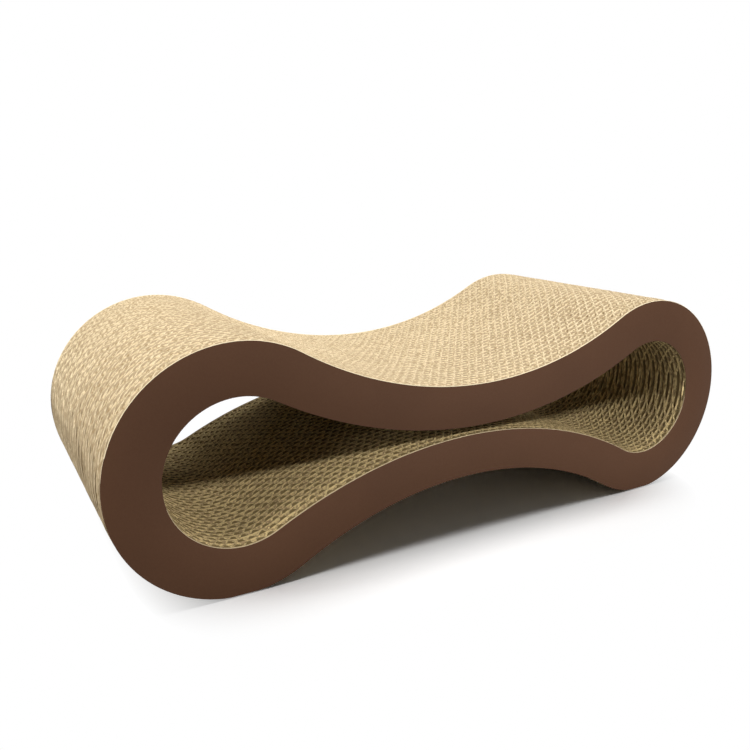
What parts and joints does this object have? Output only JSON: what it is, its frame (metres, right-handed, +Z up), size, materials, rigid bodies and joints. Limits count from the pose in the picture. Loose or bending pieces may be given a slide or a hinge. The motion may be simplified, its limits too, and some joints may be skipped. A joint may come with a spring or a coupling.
{
  "type": "cardboard cat scratcher",
  "caption": "Low figure-eight cat lounge of corrugated cardboard rings glued side by side, with two open loops, a hollow top to lie in and thin brown facings.",
  "frame": {"origin": "on the floor, under the middle of the lounge", "axes": "+X along the length, +Y from the front facing to the back one, +Z up"},
  "size_m": [0.7, 0.27, 0.22],
  "materials": {
    "corrugated_board": "matte kraft paper",
    "brown_facing": "matte printed board"
  },
  "bodies": {
    "root": {"sheet_01": "corrugated_board", "sheet_02": "corrugated_board", "sheet_03": "corrugated_board", "sheet_04": "corrugated_board", "sheet_05": "corrugated_board", "sheet_06": "corrugated_board", "sheet_07": "corrugated_board", "sheet_08": "corrugated_board", "sheet_09": "corrugated_board", "sheet_10": "corrugated_board", "sheet_11": "corrugated_board", "sheet_12": "corrugated_board", "sheet_13": "corrugated_board", "sheet_14": "corrugated_board", "sheet_15": "corrugated_board", "sheet_16": "corrugated_board", "sheet_17": "corrugated_board", "sheet_18": "corrugated_board", "sheet_19": "corrugated_board", "sheet_20": "corrugated_board", "sheet_21": "corrugated_board", "sheet_22": "corrugated_board", "sheet_23": "corrugated_board", "sheet_24": "corrugated_board", "sheet_25": "corrugated_board", "sheet_26": "corrugated_board", "sheet_27": "corrugated_board", "sheet_28": "corrugated_board", "sheet_29": "corrugated_board", "sheet_30": "corrugated_board", "sheet_31": "corrugated_board", "sheet_32": "corrugated_board", "sheet_33": "corrugated_board", "sheet_34": "corrugated_board", "sheet_35": "corrugated_board", "sheet_36": "corrugated_board", "sheet_37": "corrugated_board", "sheet_38": "corrugated_board", "front_facing": "brown_facing", "back_facing": "brown_facing"}
  },
  "joints": []
}
